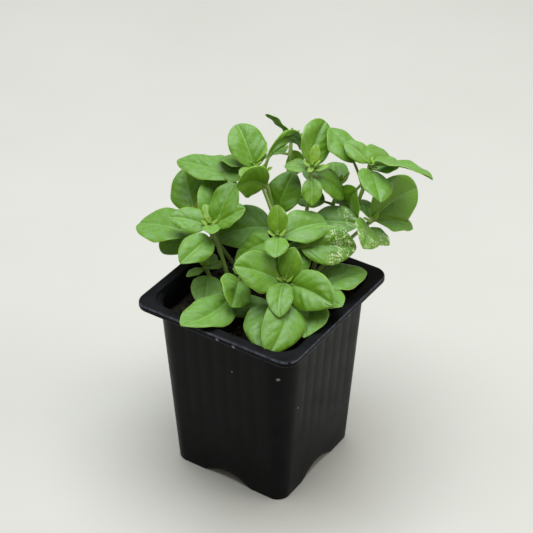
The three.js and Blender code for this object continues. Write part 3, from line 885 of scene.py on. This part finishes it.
class Shader:
    """A material and short ways to add nodes to it. Values are numbers, colours or other nodes' outputs."""

    def __init__(self, name):
        self.material = bpy.data.materials.new(name)
        self.material.use_nodes = True
        self.tree = self.material.node_tree
        self.surface = self.tree.nodes["Principled BSDF"]
        self.place = self.node("ShaderNodeTexCoord").outputs["Object"]

    def give(self, socket, value):
        if isinstance(value, bpy.types.NodeSocket):
            self.tree.links.new(value, socket)
        elif isinstance(value, tuple) and len(value) == 3 and len(socket.default_value) == 4:
            socket.default_value = (*value, 1)
        else:
            socket.default_value = value

    def node(self, kind, values=None, **settings):
        made = self.tree.nodes.new(kind)
        for name, value in settings.items():
            setattr(made, name, value)
        for name, value in (values or {}).items():
            self.give(made.inputs[name], value)
        return made

    def set(self, **values):
        for name, value in values.items():
            self.give(self.surface.inputs[name.replace("_", " ").title().replace("Ior", "IOR")], value)

    def mark(self, name):
        return self.node("ShaderNodeAttribute", attribute_name=name).outputs["Fac"]

    def maths(self, operation, *values):
        made = self.tree.nodes.new("ShaderNodeMath")
        made.operation = operation
        for socket, value in zip(made.inputs, values):
            self.give(socket, value)
        return made.outputs["Value"]

    def strongest(self, *shares):
        """The largest of some values, each times its own weight."""
        result = 0.0
        for value, weight in shares:
            result = self.maths("MAXIMUM", result, self.maths("MULTIPLY", value, weight))
        return result

    def upwards(self):
        """1 where the surface faces straight up, 0 where it is upright."""
        facing = self.node("ShaderNodeTexCoord").outputs["Normal"]
        return self.node("ShaderNodeSeparateXYZ", {"Vector": facing}).outputs["Z"]

    def rise(self, value, low, high, to_low=0.0, to_high=1.0):
        """to_low below low, to_high above high, and a smooth change between them."""
        values = {"Value": value, "From Min": low, "From Max": high, "To Min": to_low, "To Max": to_high}
        return self.node("ShaderNodeMapRange", values, interpolation_type="SMOOTHSTEP").outputs["Result"]

    def mix(self, factor, first, second):
        made = self.node("ShaderNodeMix", data_type="RGBA")
        self.give(made.inputs["Factor"], factor)
        self.give(made.inputs[6], first)
        self.give(made.inputs[7], second)
        return made.outputs[2]

    def noise(self, size, detail=3.0, roughness=0.55):
        """Noise from 0 to 1, with patches about as large as size in millimetres."""
        values = {"Scale": 1 / (size * MM), "Detail": detail, "Roughness": roughness, "Vector": self.place}
        return self.node("ShaderNodeTexNoise", values).outputs["Fac"]

    def spots(self, spacing, radius, share):
        """1 in small round spots, which a share of a lattice's cells have, spacing millimetres apart."""
        values = {"Scale": 1 / (spacing * MM), "Vector": self.place, "Randomness": 1.0}
        cells = self.node("ShaderNodeTexVoronoi", values)
        near = self.rise(cells.outputs["Distance"], radius / spacing, 0.6 * radius / spacing, 0, 1)
        pick = self.node("ShaderNodeSeparateColor", {"Color": cells.outputs["Color"]}).outputs["Red"]
        return self.maths("MULTIPLY", near, self.maths("LESS_THAN", pick, share))

    def band(self, value, low, high):
        """1 between low and high millimetres, 0 outside them."""
        return self.maths("MULTIPLY", self.maths("GREATER_THAN", value, low * MM),
                          self.maths("LESS_THAN", value, high * MM))

    def beyond(self, half):
        """1 outside an upright square round the pot's middle line, half its side in millimetres."""
        offset = self.node("ShaderNodeVectorMath", operation="SUBTRACT")
        self.give(offset.inputs[0], self.place)
        offset.inputs[1].default_value = in_frame((0, 0, 0))
        apart = self.node("ShaderNodeVectorMath", operation="ABSOLUTE")
        self.give(apart.inputs[0], offset.outputs["Vector"])
        sides = self.node("ShaderNodeSeparateXYZ", {"Vector": apart.outputs["Vector"]}).outputs
        return self.maths("GREATER_THAN", self.maths("MAXIMUM", sides["X"], sides["Y"]), half * MM)

    def near(self, place, radius):
        """1 within about radius millimetres of a place, with a rough edge."""
        offset = self.node("ShaderNodeVectorMath", operation="DISTANCE")
        self.give(offset.inputs[0], self.place)
        offset.inputs[1].default_value = in_frame(place)
        roughness = self.maths("MULTIPLY", self.noise(0.8, detail=4), 1.6 * radius * MM)
        apart = self.maths("ADD", roughness, offset.outputs["Value"])
        return self.rise(apart, 1.9 * radius * MM, 1.2 * radius * MM)

    def bump(self, height, distance, strength):
        values = {"Height": height, "Distance": distance * MM, "Strength": strength}
        return self.node("ShaderNodeBump", values).outputs["Normal"]


# Heights between which the pot's edges have a painted pale highlight, how far from its middle line that
# begins, and places and radii of dust on it, in millimetres
PAINTED_HIGHLIGHT_HEIGHTS = ((99.1, 99.8), (96.9, 97.3))
PAINTED_HIGHLIGHT_FROM = 43
DUST = (
    ((4.2, -45, 98.2), 0.9),
    ((13.2, -45, 97.6), 1.1),
    ((7.3, -37.7, 75.5), 0.5),
    ((32.5, -36.2, 80.9), 1.1),
    ((36.5, -24.8, 57.8), 0.6),
    ((38.5, 18.2, 87.3), 0.7),
)

# Colours of the leaves and the stems
DEEP_GREEN = (0.085, 0.19, 0.004)
BRIGHT_GREEN = (0.122, 0.262, 0.009)
YOUNG_GREEN = (0.3, 0.42, 0.03)
MARGIN_GREEN = (0.3, 0.46, 0.08)
VEIN_GREEN = (0.22, 0.37, 0.1)
# Painted sheen: a pale bluish green for leaf faces turned up to the sky light, standing in for its
# reflection
PAINTED_SHEEN_GREEN = (0.16, 0.29, 0.1)
FLECK_CREAM = (0.62, 0.68, 0.42)
UNDER_GREEN = (0.15, 0.29, 0.03)
UNDER_DEEP_GREEN = (0.11, 0.23, 0.015)
UNDER_VEIN_GREEN = (0.26, 0.4, 0.09)
STEM_BROWN = (0.13, 0.11, 0.045)
STEM_GREEN = (0.17, 0.27, 0.05)
STEM_TIP_GREEN = (0.3, 0.42, 0.1)

# How far light goes into leaves and stems, in millimetres for red, green and blue
LEAF_GLOW = (0.6, 1.0, 0.12)
STEM_GLOW = (0.5, 0.8, 0.2)

# Colours of the pot, the soil and the floor
PLASTIC_BLACK = (0.0038, 0.004, 0.0045)
PLASTIC_GREY = (0.0072, 0.0074, 0.0082)
# Painted highlight: the pale bluish line along the rounded edges of the lip
PAINTED_HIGHLIGHT_GREY = (0.09, 0.095, 0.12)
DUST_GREY = (0.42, 0.42, 0.4)
PEAT_BLACK = (0.0055, 0.0045, 0.0025)
PEAT_BROWN = (0.028, 0.0185, 0.009)
STRAW_BROWN = (0.15, 0.095, 0.045)
PAPER = (0.5, 0.475, 0.435)
PALE_PAPER = (0.56, 0.535, 0.495)


def vein_lines(shader):
    """The share of a leaf's surface that is midrib, side vein or margin, each as a value from 0 to 1."""
    across = shader.mark("across")
    half_step = shader.maths("MULTIPLY", shader.maths("GREATER_THAN", across, 0.0), 0.5)
    phase = shader.maths("FRACT", shader.maths("ADD", shader.mark("vein"), half_step))
    from_vein = shader.maths("ABSOLUTE", shader.maths("SUBTRACT", phase, 0.5))
    side_vein = shader.rise(from_vein, 0.44, 0.5)
    midrib = shader.rise(shader.mark("from_rib"), 0.4, 0.12)
    margin = shader.rise(shader.maths("ABSOLUTE", across), 0.94, 1.0)
    return midrib, side_vein, margin


def leaf_upper():
    """Warm green, yellower where it is young, with a painted pale sheen in patches where it faces up, fine
    pale veins and a thin pale margin. Some leaves have clusters of cream flecks."""
    shader = Shader("leaf_upper")
    midrib, side_vein, margin = vein_lines(shader)
    patches = shader.noise(6)
    tone = shader.maths("MULTIPLY_ADD", patches, 0.5, shader.mark("tone"))
    green = shader.mix(shader.rise(tone, 0.25, 1.1), DEEP_GREEN, BRIGHT_GREEN)
    youngest = shader.maths("POWER", shader.mark("youth"), 4.0)
    green = shader.mix(shader.maths("MULTIPLY", youngest, 0.85), green, YOUNG_GREEN)
    mottling = shader.rise(shader.noise(1.3, detail=4), 0.4, 0.62)
    green = shader.mix(shader.maths("MULTIPLY", mottling, 0.2), green, DEEP_GREEN)
    # Painted sheen: leaves turn pale bluish green in patches where they face up, as where the sky light
    # glints
    painted_sheen = shader.maths("MULTIPLY", shader.rise(shader.upwards(), 0.45, 1.0),
                         shader.rise(shader.noise(2.5, detail=6), 0.36, 0.66, 0.2, 0.75))
    green = shader.mix(painted_sheen, green, PAINTED_SHEEN_GREEN)
    pale = shader.strongest((midrib, 0.6), (side_vein, 0.4))
    green = shader.mix(pale, green, VEIN_GREEN)
    green = shader.mix(shader.maths("MULTIPLY", margin, 0.75), green, MARGIN_GREEN)
    cluster = shader.rise(shader.noise(3.2, detail=2), 0.46, 0.56)
    fleck = shader.rise(shader.noise(0.9, detail=4), 0.5, 0.57)
    fleck = shader.maths("MULTIPLY", shader.maths("MULTIPLY", fleck, cluster), shader.mark("specks"))
    shader.set(
        base_color=shader.mix(fleck, green, FLECK_CREAM),
        roughness=shader.rise(patches, 0.2, 0.8, 0.3, 0.44),
        specular_ior_level=0.28,
        sheen_weight=0.04,
        sheen_roughness=0.4,
        sheen_tint=(0.75, 0.92, 1.0),
        subsurface_weight=0.35,
        subsurface_radius=LEAF_GLOW,
        subsurface_scale=MM,
        normal=shader.bump(shader.noise(2.2, detail=6, roughness=0.65), 0.5, 0.7),
    )
    return shader.material


def leaf_underside():
    shader = Shader("leaf_underside")
    midrib, side_vein, margin = vein_lines(shader)
    green = shader.mix(shader.noise(5), UNDER_GREEN, UNDER_DEEP_GREEN)
    pale = shader.strongest((midrib, 1.0), (side_vein, 0.6), (margin, 0.5))
    shader.set(
        base_color=shader.mix(pale, green, UNDER_VEIN_GREEN),
        roughness=0.62,
        subsurface_weight=0.35,
        subsurface_radius=LEAF_GLOW,
        subsurface_scale=MM,
        normal=shader.bump(shader.noise(0.8, detail=4), 0.15, 0.6),
    )
    return shader.material


def stem_skin():
    """Brownish near the soil, green above, and palest at the growing tips."""
    shader = Shader("stem_skin")
    height = shader.maths("ADD", shader.mark("tone"), shader.maths("MULTIPLY", shader.noise(3), 0.3))
    green = shader.mix(shader.rise(height, 0.1, 0.75), STEM_BROWN, STEM_GREEN)
    green = shader.mix(shader.maths("MULTIPLY", shader.mark("youth"), 0.7), green, STEM_TIP_GREEN)
    shader.set(
        base_color=green,
        roughness=0.5,
        subsurface_weight=0.2,
        subsurface_radius=STEM_GLOW,
        subsurface_scale=MM,
        normal=shader.bump(shader.noise(0.5, detail=3), 0.1, 0.6),
    )
    return shader.material


def pot_plastic():
    """Near-black moulded plastic, satin, with faint cloudy wear, painted pale highlights on the lip's edges
    and specks of dust.
    """
    shader = Shader("pot_plastic")
    clouds = shader.noise(14, detail=5)
    dark = shader.mix(shader.rise(clouds, 0.35, 0.7), PLASTIC_BLACK, PLASTIC_GREY)
    height = shader.node("ShaderNodeSeparateXYZ", {"Vector": shader.place}).outputs["Z"]
    # Painted highlight: thin pale bluish lines on the lip's outer edges, where the light glints
    painted_highlight = shader.strongest(*[(shader.band(height, *limits), 1.0) for limits in PAINTED_HIGHLIGHT_HEIGHTS])
    painted_highlight = shader.maths("MULTIPLY", painted_highlight, shader.beyond(PAINTED_HIGHLIGHT_FROM))
    painted_highlight = shader.maths("MULTIPLY", painted_highlight, shader.rise(shader.noise(3), 0.3, 0.7, 0.25, 0.8))
    dark = shader.mix(painted_highlight, dark, PAINTED_HIGHLIGHT_GREY)
    dust = shader.strongest(*[(shader.near(place, radius), 1.0) for place, radius in DUST])
    fine_dust = shader.spots(4, 0.14, 0.12)
    dust = shader.strongest((dust, 0.55), (fine_dust, 0.3))
    shader.set(
        base_color=shader.mix(dust, dark, DUST_GREY),
        roughness=shader.rise(clouds, 0.3, 0.75, 0.32, 0.45),
        specular_ior_level=0.06,
        normal=shader.bump(shader.noise(0.9, detail=3), 0.04, 0.5),
    )
    return shader.material


def soil_peat():
    shader = Shader("soil_peat")
    tone = shader.maths("MULTIPLY_ADD", shader.noise(2.2, detail=6), 0.5, shader.mark("tone"))
    brown = shader.mix(shader.rise(tone, 0.3, 0.95), PEAT_BLACK, PEAT_BROWN)
    brown = shader.mix(shader.rise(tone, 1.05, 1.4), brown, STRAW_BROWN)
    shader.set(
        base_color=brown,
        roughness=shader.rise(shader.noise(4), 0.3, 0.7, 0.75, 0.92),
        specular_ior_level=0.25,
        normal=shader.bump(shader.noise(0.5, detail=5, roughness=0.7), 0.5, 0.9),
    )
    return shader.material


def floor_paper():
    shader = Shader("floor_paper")
    clouds = shader.noise(160, detail=3)
    shader.set(
        base_color=shader.mix(clouds, PAPER, PALE_PAPER),
        roughness=0.8,
        normal=shader.bump(shader.noise(0.8, detail=3), 0.05, 0.4),
    )
    return shader.material


# Stage

CAMERA_BEARING = 33.5
CAMERA_RISE = 35.2
CAMERA_DISTANCE = 829
CAMERA_AIM = np.array([1.3, 1.1, 111.6])
SENSOR = 36
LENS = 116.78

# A soft light from high up, a weak one from the side, and the light from all around
SKY = dict(place=(-100, 100, 1300), size=1300, power=27, colour=(0.88, 0.96, 1.0))
WINDOW = dict(place=(900, 300, 500), size=600, power=2.5, colour=(1.0, 0.97, 0.9))
LIGHTS_AIM = (0, 0, 90)
ROOM_COLOUR = (1.0, 0.96, 0.84, 1)
ROOM_STRENGTH = 0.28
FLOOR_REACH = 3000


def look_at(thing, target):
    thing.rotation_euler = (target - thing.location).to_track_quat("-Z", "Y").to_euler()


def camera():
    data = bpy.data.cameras.new("camera")
    data.lens = LENS
    data.sensor_width = SENSOR
    data.clip_start = 0.01
    made = bpy.data.objects.new("camera", data)
    bpy.context.scene.collection.objects.link(made)
    bearing, rise = math.radians(CAMERA_BEARING), math.radians(CAMERA_RISE)
    level = np.array([math.sin(bearing), -math.cos(bearing), 0])
    made.location = in_frame(CAMERA_AIM + (level * math.cos(rise) + UP * math.sin(rise)) * CAMERA_DISTANCE)
    look_at(made, in_frame(CAMERA_AIM))
    bpy.context.scene.camera = made


def area_light(name, place, size, power, colour):
    data = bpy.data.lights.new(name, "AREA")
    data.shape = "DISK"
    data.size = size * MM
    data.energy = power
    data.color = colour
    made = bpy.data.objects.new(name, data)
    bpy.context.scene.collection.objects.link(made)
    made.location = in_frame(place)
    look_at(made, in_frame(LIGHTS_AIM))
    return made


def stage():
    floor = bpy.data.meshes.new("floor")
    sides = ((-1, -1), (1, -1), (1, 1), (-1, 1))
    corners = [tuple(in_frame((x * FLOOR_REACH, y * FLOOR_REACH, 0))) for x, y in sides]
    floor.from_pydata(corners, [], [(0, 1, 2, 3)])
    floor.materials.append(floor_paper())
    floor = bpy.data.objects.new("floor", floor)
    bpy.context.scene.collection.objects.link(floor)
    area_light("sky", **SKY)
    area_light("window", **WINDOW)
    world = bpy.data.worlds.new("world")
    bpy.context.scene.world = world
    world.use_nodes = True
    background = world.node_tree.nodes["Background"]
    background.inputs["Color"].default_value = ROOM_COLOUR
    background.inputs["Strength"].default_value = ROOM_STRENGTH


# The whole object

leaf_materials = [leaf_upper(), leaf_underside(), stem_skin()]
for index, stem in enumerate(STEMS):
    leafy_stem(stem, index, leaf_materials)
potting_soil()
moulded_pot()
camera()
stage()

bpy.context.scene.view_settings.view_transform = "Standard"
